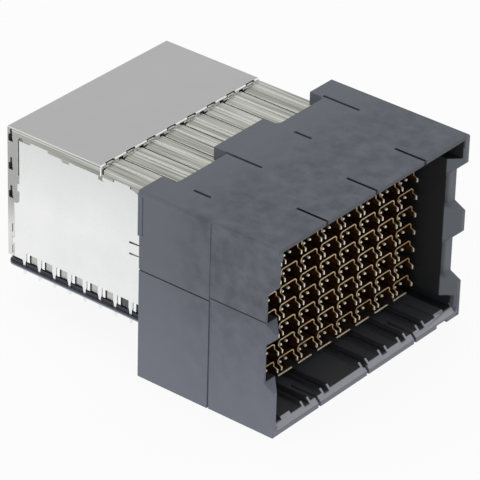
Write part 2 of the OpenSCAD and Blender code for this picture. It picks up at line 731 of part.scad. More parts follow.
// Envelope of the cover, with a round bend wherever two of its faces meet
module cover_envelope(low, top) {
    outer = stack_half;
    intersection() {
        front_profile(cover_front_y, cover_y - cover_front_y)
            polygon(concat(
                [[-outer, low], [outer, low]],
                arc([outer - bend_r, top - bend_r], bend_r, 0, 90, 4),
                arc([-outer + bend_r, top - bend_r], bend_r, 90, 180, 4)));
        side_profile(-outer, 2 * outer)
            polygon(concat(
                [[cover_front_y, low], [cover_y, low]],
                arc([cover_y - bend_r, top - bend_r], bend_r, 0, 90, 4),
                [[cover_front_y, top]]));
        translate([0, 0, low]) linear_extrude(top - low)
            polygon(concat(
                [[-outer, cover_front_y], [outer, cover_front_y]],
                arc([outer - bend_r, cover_y - bend_r], bend_r, 0, 90, 4),
                arc([-outer + bend_r, cover_y - bend_r], bend_r, 90, 180, 4)));
    }
}

// Keyhole slot in a folded side, narrower in its upper half
module wrap_slot(low) {
    middle = low + 0.57 * wrap_slot_h;
    top = low + wrap_slot_h;
    wide = [narrow_y + 0.09, cover_in_y];
    neck = [narrow_y + 0.3, cover_in_y - 0.3];
    polygon([[wide[0], low], [wide[1], low], [wide[1], middle], [neck[1], middle],
             [neck[1], top], [neck[0], top], [neck[0], middle], [wide[0], middle]]);
}

// Stamped and folded cover: top plate, back plate, flanges and folded sides
module shield_cover() {
    outer = stack_half;
    top = wafer_top + cover_t;
    foot = organizer_z + cover_foot;
    front = cover_front_y - eps;
    slot_low = flange_z - 0.75;
    slot_pitch = 1.6 * row_pitch;
    slot_in = 0.8;
    relief_r = 0.5;
    relief_y = wide_y - 0.35;
    // A narrow gap between the wide part's upper half and the plate
    gap_low = wide_bite[1] + 1.3;
    gap_w = 0.22;
    // Two thin slots in the narrow part of the folded sides
    thin_slots = [foot + 0.4, foot + 4];
    thin_slot = [0.22, 1.4];
    color("#b2b2ae") difference() {
        union() {
            difference() {
                cover_envelope(foot, top);
                block([-outer + cover_t, front, foot - eps], [outer - cover_t, cover_in_y, wafer_top]);
                side_profile(-outer - eps, 2 * (outer + eps))
                    polygon(concat(
                        [[narrow_y, foot - eps]],
                        side_edge(0),
                        [[front, flange_z - corner_h], [front, foot - eps]]));
            }
            // The corner tabs reach forward, under the strips
            for (x = [-outer, outer - cover_t])
                block([x, corner_tab[0], flange_z - corner_h], [x + cover_t, corner_tab[1], flange_z - fit]);
        }
        // One notch in the front edge for each wafer's hook
        for (k = [1:columns])
            block([column_x(k) + notch_u, front, wafer_top - eps],
                  [column_x(k) + notch_u + notch_w, cover_front_y + notch_d, top + eps]);
        // Slots in the folded sides, and a round relief where the flange meets them
        for (x = [-outer - eps, outer - slot_in]) {
            for (n = [0:2])
                side_profile(x, slot_in + eps) wrap_slot(slot_low - n * slot_pitch);
            for (z = thin_slots)
                block([x, narrow_y + thin_slot[0], z], [x + slot_in + eps, narrow_y + 2 * thin_slot[0], z + thin_slot[1]]);
            side_profile(x, slot_in + eps) translate([relief_y, flange_z]) circle(relief_r);
            block([x, wide_y - eps, gap_low], [x + slot_in + eps, wide_y + gap_w, flange_z]);
        }
    }
}

// Outline of an organizer layer, with round corners
module organizer_outline(inset) {
    half = stack_half + organizer_step - inset;
    front = shroud_depth + organizer_gap + inset;
    rear = wafer_rear_y + organizer_rear - inset;
    r = 1;
    polygon(concat(
        arc([half - r, rear - r], r, 0, 90, 4),
        arc([-half + r, rear - r], r, 90, 180, 4),
        arc([-half + r, front + r], r, 180, 270, 4),
        arc([half - r, front + r], r, 270, 360, 4)));
}

module tail_organizer() {
    room = 0.06;
    slot = tail_eye_w / 2 + room;
    low = seat_z - eps;
    high = organizer_z + eps;
    color("#262c38") difference() {
        union() {
            translate([0, 0, seat_z]) linear_extrude(organizer_base_t) organizer_outline(0);
            translate([0, 0, seat_z + organizer_base_t]) linear_extrude(organizer_top_t)
                organizer_outline(organizer_step);
        }
        for (k = [1:columns]) translate([column_x(k), 0, 0]) {
            // Slots for the pairs' tails, then slots for the ground tails
            for (i = [0:rows - 1])
                block([-pair_half, tail_y(i) - slot, low], [pair_half, tail_y(i) + slot, high]);
            for (i = [0:rows])
                block([-wafer_w / 2 - room, leg_y(i) - slot, low], [-plate_in + room, leg_y(i) + slot, high]);
        }
    }
}

header_housing();
shield_cover();
tail_organizer();
for (k = [1:columns]) {
    wafer_shell(k);
    ground_plate(k);
    pair_insulators(k);
    signal_leads(k);
    pair_shields(k);
    ground_blade(k);
}
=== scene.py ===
import bmesh
import bpy
import math
from mathutils import Matrix, Vector


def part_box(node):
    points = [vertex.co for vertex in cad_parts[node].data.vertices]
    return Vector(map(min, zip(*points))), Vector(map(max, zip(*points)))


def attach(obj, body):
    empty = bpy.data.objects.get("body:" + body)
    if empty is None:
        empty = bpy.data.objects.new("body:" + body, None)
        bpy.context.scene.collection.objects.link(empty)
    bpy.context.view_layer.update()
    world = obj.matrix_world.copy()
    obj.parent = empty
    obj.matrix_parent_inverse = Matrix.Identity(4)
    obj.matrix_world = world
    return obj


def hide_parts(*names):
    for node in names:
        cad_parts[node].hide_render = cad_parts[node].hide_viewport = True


# A right-angle header for a circuit board: a moulded shroud with eight shielded wafers behind it,
# under a folded metal cover. Everything is in metres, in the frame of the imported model, apart from
# the boxes in which a tone takes over, which are in millimetres.
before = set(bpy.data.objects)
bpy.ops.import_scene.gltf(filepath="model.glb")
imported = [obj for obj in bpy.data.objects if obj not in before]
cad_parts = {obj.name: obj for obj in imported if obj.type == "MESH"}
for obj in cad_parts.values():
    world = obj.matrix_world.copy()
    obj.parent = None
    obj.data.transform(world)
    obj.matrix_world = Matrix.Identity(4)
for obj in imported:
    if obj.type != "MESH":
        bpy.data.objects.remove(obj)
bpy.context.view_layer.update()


# Shroud. One injection-moulded piece of glass-filled liquid-crystal polymer, dark slate and matte.
# Its lead-in slopes carry a painted highlight, and the deep cavity behind them is painted dark as
# shade. Here as on the other pieces, the grain is drawn coarser than the real one, so that it shows.
MM = 0.001
FAR = 60.0
SHROUD_DARK = "#3f434d"
SHROUD_LIGHT = "#555962"
# The rear is painted lighter, as it sees more of the sky.
SHROUD_REAR = "#565a63"
SHROUD_EDGE = "#565a63"
# The cavity and its floor are painted dark as shade.
SHROUD_CAVITY_SHADE = "#16171a"
SHROUD_FLOOR_SHADE = "#36373a"
# The pale grey of the lead-in slope is a painted highlight.
SHROUD_SLOPE_HIGHLIGHT = "#91919a"
# The lip under the slope is painted light.
SHROUD_LIP_LIGHT = "#6d6d76"
SHROUD_RIM = "#3f4147"
# The groove is painted light over its shade.
SHROUD_GROOVE_LIGHT = "#6a6e77"
# The foot of the left wall is painted light.
SHROUD_FOOT_LIGHT = "#6a6e79"
SHROUD_RIGHT = "#51565c"
SHROUD_ROUND = 0.08 * MM
SHROUD_GRAIN = 0.16 * MM
CAVITY_HALF = 19.2
CAVITY_FRONT = 0.78
CAVITY_REAR = 15.9
CAVITY_FOOT = 0.8
CAVITY_TOP = 28.6
SLOPE_LEAN = 45

# Each row is a colour, the low and high corners of its box, its soft border and its lean.
shroud_tones = [
    # The rear, painted lighter as it sees more sky, and painted light on the foot of the left wall.
    (SHROUD_REAR, (-FAR, 17.0, -FAR), (FAR, FAR, FAR), 4.0),
    (SHROUD_FOOT_LIGHT, (-FAR, -FAR, -FAR), (0, FAR, 9.0), 12.0),
    # The front of the right wall, and painted light at the bottom of the lower upright groove at left.
    (SHROUD_RIGHT, (19.3, -0.1, 3.7), (22.2, 1.97, 30.3), 0.03),
    (SHROUD_GROOVE_LIGHT, (-21.95, 11.55, -0.1), (-21.6, 11.9, 18.1), 0.02),
    # Painted shade in the cavity's roof, between the slopes, and on the walls and corners behind them.
    (SHROUD_CAVITY_SHADE, (-21.0, 0.3, 26.6), (21.0, 15.0, 30.33), 0.04),
    (SHROUD_CAVITY_SHADE, (-CAVITY_HALF, CAVITY_FRONT, CAVITY_FOOT), (CAVITY_HALF, CAVITY_REAR, CAVITY_TOP), 0.05),
    (SHROUD_CAVITY_SHADE, (-19.5, 2.05, 1.0), (19.5, CAVITY_REAR, CAVITY_TOP), 0.06),
    (SHROUD_CAVITY_SHADE, (-21.2, 1.0, 1.0), (21.2, CAVITY_REAR, 3.75), 0.05),
    # Painted shade in the left wall's notches, on the cavity's floor, and on a strip by each right notch.
    (SHROUD_CAVITY_SHADE, (-21.5, 1.95, 7.0), (-19.0, 8.0, 24.0), 0.05),
    (SHROUD_FLOOR_SHADE, (-CAVITY_HALF, CAVITY_FRONT, CAVITY_FOOT), (CAVITY_HALF, CAVITY_REAR, 1.8), 0.05),
    (SHROUD_CAVITY_SHADE, (16.0, 1.2, 7.0), (20.2, 3.0, 12.8), 0.5),
    (SHROUD_CAVITY_SHADE, (16.0, 1.2, 18.9), (20.2, 3.0, 24.2), 0.5),
    # A painted highlight on the floor's lead-in slope, painted light on the lip under it, and the front
    # rim of the roof.
    (SHROUD_SLOPE_HIGHLIGHT, (-21.5, -0.54, 0.3), (21.5, -0.44, 2.25), 0.03, SLOPE_LEAN),
    (SHROUD_LIP_LIGHT, (-21.2, -0.1, -0.1), (21.2, 0.05, 0.75), 0.03),
    (SHROUD_RIM, (-21.9, -0.1, 29.7), (21.2, 0.05, 30.38), 0.03)]


def linear(colour):
    """Turns an sRGB hex colour into linear red, green, blue and alpha."""
    channels = [int(colour[i:i + 2], 16) / 255 for i in (1, 3, 5)]
    return tuple(c / 12.92 if c <= 0.04045 else ((c + 0.055) / 1.055) ** 2.4 for c in channels) + (1.0,)


def add_node(tree, kind, inputs=None, **settings):
    """Adds a node with its settings, and sets or links each named input."""
    node = tree.nodes.new(kind)
    for name, value in settings.items():
        setattr(node, name, value)
    for name, value in (inputs or {}).items():
        if isinstance(value, bpy.types.NodeSocket):
            tree.links.new(value, node.inputs[name])
        else:
            node.inputs[name].default_value = value
    return node


def inside(tree, position, low, high, soft, lean=0):
    """How far a position lies inside a box in millimetres, from 0 outside to 1, with a soft border.

    The box can lean round the X axis: its Y and Z are then those of the position turned by that angle.
    """
    middle = [(a + b) / 2 * MM for a, b in zip(low, high)]
    half = [(b - a) / 2 * MM for a, b in zip(low, high)]
    turned = add_node(tree, "ShaderNodeVectorRotate", {"Vector": position, "Angle": math.radians(lean)},
                      rotation_type="X_AXIS")
    moved = add_node(tree, "ShaderNodeVectorMath", {0: turned.outputs[0], 1: middle},
                     operation="SUBTRACT")
    folded = add_node(tree, "ShaderNodeVectorMath", {0: moved.outputs[0]}, operation="ABSOLUTE")
    past = add_node(tree, "ShaderNodeVectorMath", {0: folded.outputs[0], 1: half},
                    operation="SUBTRACT")
    x, y, z = add_node(tree, "ShaderNodeSeparateXYZ", {0: past.outputs[0]}).outputs
    wide = add_node(tree, "ShaderNodeMath", {0: x, 1: y}, operation="MAXIMUM")
    most = add_node(tree, "ShaderNodeMath", {0: wide.outputs[0], 1: z}, operation="MAXIMUM")
    share = add_node(tree, "ShaderNodeMapRange", {
        "Value": most.outputs[0], "From Min": -soft * MM, "From Max": soft * MM,
        "To Min": 1.0, "To Max": 0.0})
    return share.outputs["Result"]


NOISE_LOW = 0.3
NOISE_HIGH = 0.7


def surface(name, dark, light, patch, grain, depth, rough, metallic=0.0, stretch=(1.0, 1.0, 1.0),
            tones=()):
    """A finish with slow colour patches, a fine grain of a given size and depth, and uneven gloss.

    A stretch under 1 draws the pattern out along that axis. Each tone is a colour and a box in
    millimetres inside which it takes over.
    """
    material = bpy.data.materials.new(name)
    material.use_nodes = True
    tree = material.node_tree
    shader = tree.nodes["Principled BSDF"]
    shader.inputs["Metallic"].default_value = metallic
    position = add_node(tree, "ShaderNodeTexCoord").outputs["Object"]
    mapping = add_node(tree, "ShaderNodeMapping", {"Vector": position, "Scale": stretch})
    patches = add_node(tree, "ShaderNodeTexNoise", {
        "Vector": mapping.outputs["Vector"], "Scale": 1 / patch, "Detail": 3.0, "Roughness": 0.55})
    spread = add_node(tree, "ShaderNodeMapRange", {
        "Value": patches.outputs["Fac"], "From Min": NOISE_LOW, "From Max": NOISE_HIGH})
    colour = add_node(tree, "ShaderNodeMix", {
        "Factor": spread.outputs["Result"], "A": linear(dark), "B": linear(light)}, data_type="RGBA")
    for tone, *box in tones:
        share = inside(tree, position, *box)
        colour = add_node(tree, "ShaderNodeMix", {
            "Factor": share, "A": colour.outputs["Result"], "B": linear(tone)}, data_type="RGBA")
    tree.links.new(colour.outputs["Result"], shader.inputs["Base Color"])
    fine = add_node(tree, "ShaderNodeTexNoise", {
        "Vector": mapping.outputs["Vector"], "Scale": 1 / grain, "Detail": 2.0, "Roughness": 0.6})
    gloss = add_node(tree, "ShaderNodeMapRange", {
        "Value": fine.outputs["Fac"], "From Min": NOISE_LOW, "From Max": NOISE_HIGH,
        "To Min": rough[0], "To Max": rough[1]})
    tree.links.new(gloss.outputs["Result"], shader.inputs["Roughness"])
    bump = add_node(tree, "ShaderNodeBump", {
        "Height": fine.outputs["Fac"], "Distance": depth, "Strength": 1.0})
    tree.links.new(bump.outputs["Normal"], shader.inputs["Normal"])
    return material


moulded_lcp = surface("Moulded LCP, slate", SHROUD_DARK, SHROUD_LIGHT, patch=2.4 * MM,
                      grain=SHROUD_GRAIN, depth=0.01 * MM, rough=(0.5, 0.64), tones=shroud_tones)
moulded_lcp_edge = surface("Moulded LCP, slate edge", SHROUD_EDGE, SHROUD_EDGE, patch=5 * MM,
                           grain=SHROUD_GRAIN, depth=0.005 * MM, rough=(0.45, 0.55), tones=shroud_tones)

# The lead-in slopes of the side walls run flush between the notches, whose sloping ends they share.
# A notch is given by its two ends at the mating face, and narrows with depth.
MOUTH_HALF = 21.3
FILL_Y = (0.1, 1.7)
CORNER_Z = (3.6, 26.65)
NOTCH_RISE = 0.52
NOTCH_FALL = 0.95
RIGHT_NOTCHES = ((5.8675, 14.35), (17.743, 25.787))
LEFT_NOTCHES = ((7.3885, 16.193), (16.983, 24.412))


def slope_fill():
    """Three prisms on each side wall, under its 45 degree slope, from one notch or corner to the next."""
    mesh = bmesh.new()
    front, rear = FILL_Y
    for side, notches in ((1, RIGHT_NOTCHES), (-1, LEFT_NOTCHES)):
        section = [(side * (MOUTH_HALF - front), front), (side * (MOUTH_HALF - front), rear),
                   (side * (MOUTH_HALF - rear), rear)]
        starts = [(CORNER_Z[0], 0)] + [(high, -NOTCH_FALL) for low, high in notches]
        ends = [(low, NOTCH_RISE) for low, high in notches] + [(CORNER_Z[1], 0)]
        for (bottom, bottom_slope), (top, top_slope) in zip(starts, ends):
            feet = [mesh.verts.new(Vector((x, y, bottom + bottom_slope * y)) * MM) for x, y in section]
            heads = [mesh.verts.new(Vector((x, y, top + top_slope * y)) * MM) for x, y in section]
            mesh.faces.new(feet)
            mesh.faces.new(heads)
            for i in range(3):
                j = (i + 1) % 3
                mesh.faces.new((feet[i], feet[j], heads[j], heads[i]))
    bmesh.ops.recalc_face_normals(mesh, faces=mesh.faces)
    data = bpy.data.meshes.new("slope_fill")
    mesh.to_mesh(data)
    mesh.free()
    return data


def plain_mesh(source, name):
    """The finished mesh of an object with its modifiers, as a new object without them."""
    graph = bpy.context.evaluated_depsgraph_get()
    data = bpy.data.meshes.new_from_object(source.evaluated_get(graph))
    piece = bpy.data.objects.new(name, data)
    data.name = name
    bpy.context.collection.objects.link(piece)
    return piece


WELD = 0.002 * MM
FLAT_ANGLE = math.radians(0.5)
SHARP_ANGLE = math.radians(30)


def rounded_copy(node, name, radius, materials, pick=None, edge_radius=0, filler=None):
    """A copy of a CAD node with welded faces and round edges, which stands for it.

    Each face gets the material whose number it is picked for, or else the first one, and the round
    edges get the last one. The border between faces of the first material and faces picked for the
    last one can be rounder. A filler is a mesh that is joined to the copy first.
    """
    mesh = bmesh.new()
    mesh.from_mesh(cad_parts[node].data)
    bmesh.ops.remove_doubles(mesh, verts=mesh.verts, dist=WELD)
    bmesh.ops.dissolve_limit(mesh, angle_limit=FLAT_ANGLE, verts=mesh.verts, edges=mesh.edges)
    mesh.normal_update()
    last = len(materials) - 1
    for face in mesh.faces:
        face.material_index = pick(face) if pick else 0
    if edge_radius:
        border = [edge for edge in mesh.edges
                  if {face.material_index for face in edge.link_faces} == {0, last}]
        bmesh.ops.bevel(mesh, geom=border, offset=edge_radius, segments=3, profile=0.5,
                        affect="EDGES", material=last)
    data = bpy.data.meshes.new(name)
    mesh.to_mesh(data)
    mesh.free()
    for material in materials:
        data.materials.append(material)
    rough = bpy.data.objects.new(name + "_sharp", data)
    bpy.context.collection.objects.link(rough)
    if filler:
        added = bpy.data.objects.new(name + "_filler", filler)
        bpy.context.collection.objects.link(added)
        join = rough.modifiers.new("Join", "BOOLEAN")
        join.operation = "UNION"
        join.solver = "EXACT"
        join.object = added
        weld = rough.modifiers.new("Weld", "WELD")
        weld.merge_threshold = WELD
    bevel = rough.modifiers.new("Round edges", "BEVEL")
    bevel.width = radius
    bevel.segments = 2
    bevel.limit_method = "ANGLE"
    bevel.angle_limit = SHARP_ANGLE
    bevel.use_clamp_overlap = True
    bevel.material = last
    piece = plain_mesh(rough, name)
    bpy.data.objects.remove(rough)
    if filler:
        bpy.data.objects.remove(added)
    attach(piece, "root")
    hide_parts(node)
    return piece


shroud = rounded_copy("header_housing", "shroud", SHROUD_ROUND, [moulded_lcp, moulded_lcp_edge],
                      filler=slope_fill())


# Cover. One sheet of stainless steel, stamped and folded over the top and the back of the wafers.
# Its top is smooth, and its sides have fine level rolling lines and a pale foot. Its left fold, a
# line under that fold and its cut front edge carry painted highlights.
COVER_DARK = "#7b7c76"
COVER_LIGHT = "#bbbcb6"
COVER_TOP = "#aeaeae"
COVER_REAR = "#a8a8a7"
COVER_FOOT = "#d8d8d6"
# The fold and the line under it are painted highlights, the notches painted shade.
COVER_FOLD_HIGHLIGHT = "#dcdcd8"
COVER_LINE_HIGHLIGHT = "#d6d6d0"
# The white of the cut front edge is a painted highlight.
COVER_EDGE_HIGHLIGHT = "#ffffff"
COVER_NOTCH_SHADE = "#1c1c1c"
COVER_ROUND = 0.03 * MM
COVER_GRAIN = 0.12 * MM
COVER_FRONT = 35.5
COVER_FRONT_ROUND = 0.12 * MM
FACING = 0.9
cover_tones = [
    # The back plate, and the foot of the left side with the corner that it is folded round.
    (COVER_REAR, (-18.0, 51.2, 4.0), (18.0, 54.0, 28.35), 0.15),
    (COVER_FOOT, (-FAR, 45.0, -FAR), (-15.2, FAR, 14.5), 2.5),
    # The top, painted highlights on its left fold and a line under it, and painted shade in the notches.
    (COVER_TOP, (-17.7, 30.0, 28.4), (17.7, 54.0, 29.0), 0.08),
    (COVER_FOLD_HIGHLIGHT, (-18.0, 30.0, 28.42), (-17.72, 54.0, 28.7), 0.03),
    (COVER_LINE_HIGHLIGHT, (-18.0, 30.0, 28.06), (-17.7, 52.5, 28.2), 0.05),
    (COVER_NOTCH_SHADE, (-17.5, COVER_FRONT, 28.0), (17.5, 37.0, 28.56), 0.02)]
rolled_steel = surface("Rolled stainless steel", COVER_DARK, COVER_LIGHT, patch=0.4 * MM,
                       grain=COVER_GRAIN, depth=0.001 * MM, rough=(0.36, 0.44), metallic=0.9,
                       stretch=(0.02, 0.02, 1.0), tones=cover_tones)
sheared_edge_highlight = surface("Sheared steel edge, painted highlight", COVER_EDGE_HIGHLIGHT, COVER_EDGE_HIGHLIGHT, patch=14 * MM,
                        grain=COVER_GRAIN, depth=0.001 * MM, rough=(0.2, 0.3), metallic=0.5)


def front_pick(face):
    """Picks the cut front edge of the top plate, which carries the painted highlight."""
    return int(face.normal.y < -FACING and face.calc_center_median().y < COVER_FRONT * MM)


cover = rounded_copy("shield_cover", "cover", COVER_ROUND, [rolled_steel, sheared_edge_highlight],
                     pick=front_pick, edge_radius=COVER_FRONT_ROUND)


# Wafer bodies. Eight alike, each a plated plastic body with open channels for its seven pairs. The
# plating is satin and pale, with flow lines along Y, and shows as one strip of roof for each wafer.
# Over the foot, the posts' fronts are painted light and the grooves between them painted shade.
COLUMNS = 8
WAFERS = range(1, COLUMNS + 1)
SHELL_DARK = "#73746d"
SHELL_LIGHT = "#cecfc7"
# The near-white of the round edges is a painted highlight.
SHELL_EDGE_HIGHLIGHT = "#f4f4ee"
# The pale grey of the ridges is a painted highlight.
SHELL_RIDGE_HIGHLIGHT = "#c6c6bf"
SHELL_FOOT = "#bcbdba"
# The white post fronts are painted light, the grey grooves painted shade.
SHELL_POST_LIGHT = "#fafafa"
SHELL_GROOVE_SHADE = "#505154"
SHELL_BLOCK = "#a6a7a1"
SHELL_ROUND = 0.04 * MM
SHELL_GRAIN = 0.2 * MM
RIDGE_Z = 28.12
FOOT_TOP = 8.6
POST_DEPTH = 0.2
shell_tones = [
    # A painted highlight on the ridges along the roof, the body behind the windows over the foot, and
    # the block before them.
    (SHELL_RIDGE_HIGHLIGHT, (-20, 16, RIDGE_Z), (20, 35, 30), 0.01),
    (SHELL_FOOT, (-20, 25, 6), (20, 54, FOOT_TOP), 0.05),
    (SHELL_BLOCK, (-20, 15.5, 1), (20, 26.3, 6.9), 0.05)]
plated_plastic = surface("Satin plated plastic", SHELL_DARK, SHELL_LIGHT, patch=0.35 * MM,
                         grain=SHELL_GRAIN, depth=0.003 * MM, rough=(0.36, 0.48), metallic=0.8,
                         stretch=(1.0, 0.02, 1.0), tones=shell_tones)
plated_edge_highlight = surface("Satin plated edge, painted highlight", SHELL_EDGE_HIGHLIGHT, SHELL_EDGE_HIGHLIGHT, patch=6 * MM,
                              grain=SHELL_GRAIN, depth=0.002 * MM, rough=(0.3, 0.4), metallic=0.3)
lit_post = surface("Satin plated post, painted light", SHELL_POST_LIGHT, SHELL_POST_LIGHT, patch=6 * MM,
                      grain=SHELL_GRAIN, depth=0.002 * MM, rough=(0.3, 0.4), metallic=0.3)
groove_shade = surface("Painted shade in the foot grooves", SHELL_GROOVE_SHADE, SHELL_GROOVE_SHADE, patch=6 * MM,
                       grain=SHELL_GRAIN, depth=0.002 * MM, rough=(0.5, 0.6))


def foot_pick(left):
    """Picks the post fronts over the foot, painted light, and the grooves between them, painted shade."""
    def pick(face):
        middle = face.calc_center_median() / MM
        if middle.z > FOOT_TOP:
            return 0
        if face.normal.x < -FACING:
            return 1 if middle.x < left / MM + POST_DEPTH else 2
        return 2 if face.normal.y < -FACING else 0
    return pick


for number in WAFERS:
    node = f"wafer_shell_{number}"
    body = rounded_copy(node, f"wafer_body_{number}", SHELL_ROUND,
                        [plated_plastic, lit_post, groove_shade, plated_edge_highlight],
                        pick=foot_pick(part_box(node)[0].x))


# Ground plates. A stamped and tin-plated copper sheet on the left of each wafer, with eight legs.
# Bright tin is nearly white under a white sky, with a fine matte bloom, and greyer near its top.
TIN_DARK = "#e6e7e7"
TIN_LIGHT = "#eeeeee"
TIN_HIGH = "#d9dada"
# The white of the round edges is a painted highlight.
TIN_EDGE_HIGHLIGHT = "#ffffff"
TIN_ROUND = 0.05 * MM
TIN_GRAIN = 0.14 * MM
tin_tones = [(TIN_HIGH, (-FAR, -FAR, 22), (FAR, FAR, FAR), 5.0)]
tin_plate = surface("Bright tin plate", TIN_DARK, TIN_LIGHT, patch=9 * MM, grain=TIN_GRAIN,
                    depth=0.0015 * MM, rough=(0.26, 0.34), metallic=0.9, tones=tin_tones)
tin_edge_highlight = surface("Tin edge, painted highlight", TIN_EDGE_HIGHLIGHT, TIN_EDGE_HIGHLIGHT, patch=9 * MM, grain=TIN_GRAIN,
                   depth=0.001 * MM, rough=(0.2, 0.3), metallic=0.9)
for number in WAFERS:
    plate = rounded_copy(f"ground_plate_{number}", f"plate_{number}", TIN_ROUND, [tin_plate, tin_edge_highlight])


# Insulators and leads. Moulded dark strips hold two stamped copper-alloy leads each, plated with gold.
# The leads show as pins in the shroud, with a painted highlight on their tips and painted shade,
# dark brown, on their sides, and as press-fit tails under the organizer.
STRIP_DARK = "#21150e"
STRIP_LIGHT = "#2e1f15"
GOLD_DARK = "#d8c8a0"
GOLD_LIGHT = "#efe2c2"
# The near-white tips are a painted highlight, the dark brown sides painted shade.
PIN_TIP_HIGHLIGHT = "#fff4e2"
PIN_SIDE_SHADE = "#4a3822"
TIP_END = 7.5
TIP_BRIGHT = 7.0
pin_tones = [(PIN_SIDE_SHADE, (-22, TIP_BRIGHT, 2), (22, 16.5, 30), 0.1)]
moulded_strip = surface("Moulded LCP, black", STRIP_DARK, STRIP_LIGHT, patch=3 * MM,
                        grain=0.12 * MM, depth=0.006 * MM, rough=(0.5, 0.6))
gold_plate = surface("Gold plate over nickel", GOLD_DARK, GOLD_LIGHT, patch=1.5 * MM,
                     grain=0.06 * MM, depth=0.001 * MM, rough=(0.18, 0.28), metallic=1.0,
                     tones=pin_tones)
pin_tip_highlight = surface("Gold pin tip, painted highlight", PIN_TIP_HIGHLIGHT, PIN_TIP_HIGHLIGHT, patch=1.5 * MM,
                       grain=0.06 * MM, depth=0.0005 * MM, rough=(0.3, 0.4), metallic=0.15,
                       tones=pin_tones)
for number in WAFERS:
    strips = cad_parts[f"pair_insulators_{number}"].data
    strips.materials.clear()
    strips.materials.append(moulded_strip)
    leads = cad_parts[f"signal_leads_{number}"].data
    leads.materials.clear()
    leads.materials.append(gold_plate)
    leads.materials.append(pin_tip_highlight)
    for face in leads.polygons:
        face.material_index = int(face.center.y < TIP_END * MM)


# Pair shields and ground blades. Each shield is a strip of thin copper alloy, bent to an inverted U
# over one pair of pins, and a flat blade closes the lowest pair of each wafer. All are alike on the
# grid of the wafers, their gold painted dark brown as shade, with a painted highlight on their front
# faces and on the tips of the legs and blades.
ROWS = 7
# The dark brown of the sheet is painted shade over gold.
SHEET_SHADE_DARK = "#4a2a12"
SHEET_SHADE_LIGHT = "#6a4522"
# The pale gold of the front faces and of the tips is a painted highlight.
FRONT_HIGHLIGHT_DARK = "#97805f"
FRONT_HIGHLIGHT_LIGHT = "#cbb48a"
LEG_TIP_HIGHLIGHT = "#fff8e4"
SHIELD_T = 0.2 * MM
SHIELD_R = 0.6 * MM
SHIELD_TOP = 1.4 * MM
SHIELD_LEG = 0.35 * MM
SHIELD_STEP = (0.2 * MM, 0.5 * MM)
STEP_DEPTH = 0.74 * MM
BEND_STEPS = 6
SHEET_GRAIN = 0.08 * MM
HIGHLIGHT_FACING = 0.3
shield_low, shield_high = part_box("pair_shields_1")
blade_low, blade_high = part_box("ground_blade_1")
PITCH_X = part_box("pair_shields_2")[0].x - shield_low.x
GRID_WIDTH = PITCH_X * (COLUMNS - 1)
GRID_HEIGHT = shield_high.z - shield_low.z - SHIELD_TOP - SHIELD_LEG
GRID_MIDDLE = (shield_low.z + SHIELD_LEG + shield_high.z - SHIELD_TOP) / 2
leg_tips = ((-22, shield_low.y / MM - 0.2, 2), (22, shield_low.y / MM + 0.2, 30))
blade_tips = ((-22, blade_low.y / MM - 0.2, blade_low.z / MM - 0.1),
              (22, blade_low.y / MM + 0.16, blade_high.z / MM + 0.05))
painted_tip_light = [(LEG_TIP_HIGHLIGHT, *leg_tips, 0.08), (LEG_TIP_HIGHLIGHT, *blade_tips, 0.02)]
shaded_gold_sheet = surface("Gold strip, painted shade", SHEET_SHADE_DARK, SHEET_SHADE_LIGHT, patch=2 * MM,
                       grain=SHEET_GRAIN, depth=0.0015 * MM, rough=(0.4, 0.55), metallic=0.9,
                       tones=painted_tip_light)
front_highlight = surface("Gold strip, painted highlight on its front", FRONT_HIGHLIGHT_DARK, FRONT_HIGHLIGHT_LIGHT, patch=1.2 * MM,
                   grain=SHEET_GRAIN, depth=0.001 * MM, rough=(0.3, 0.4), metallic=0.3,
                   tones=painted_tip_light)


def bend_line(half, radius):
    """Points of an inverted U in X and Z, from its right foot over the top to its left foot."""
    corner = (half - radius, SHIELD_TOP - SHIELD_R)
    right_side = [(half, -SHIELD_LEG), (half, SHIELD_STEP[0]), (half, SHIELD_STEP[1])]
    for step in range(BEND_STEPS + 1):
        angle = math.radians(90 * step / BEND_STEPS)
        right_side.append((corner[0] + radius * math.cos(angle), corner[1] + radius * math.sin(angle)))
    return right_side + [(-x, z) for x, z in reversed(right_side)]


def shield_mesh(front, rear, width):
    """One shield as a closed sheet, with its legs' front edge a step ahead of its top."""
    mesh = bmesh.new()
    loops = []
    for half, radius in ((width / 2, SHIELD_R), (width / 2 - SHIELD_T, SHIELD_R - SHIELD_T)):
        for at_front in (True, False):
            loop = []
            for x, z in bend_line(half, radius):
                rise = min(max((z - SHIELD_STEP[0]) / (SHIELD_STEP[1] - SHIELD_STEP[0]), 0), 1)
                loop.append(mesh.verts.new((x, front + rise * STEP_DEPTH if at_front else rear, z)))
            loops.append(loop)
    outer_front, outer_rear, inner_front, inner_rear = loops
    for a, b in ((outer_front, outer_rear), (outer_rear, inner_rear), (inner_rear, inner_front),
                 (inner_front, outer_front)):
        for i in range(len(a) - 1):
            mesh.faces.new((a[i], b[i], b[i + 1], a[i + 1]))
    for end in (0, -1):
        mesh.faces.new((outer_front[end], outer_rear[end], inner_rear[end], inner_front[end]))
    bmesh.ops.recalc_face_normals(mesh, faces=mesh.faces)
    data = bpy.data.meshes.new("shield_form")
    mesh.to_mesh(data)
    mesh.free()
    return data


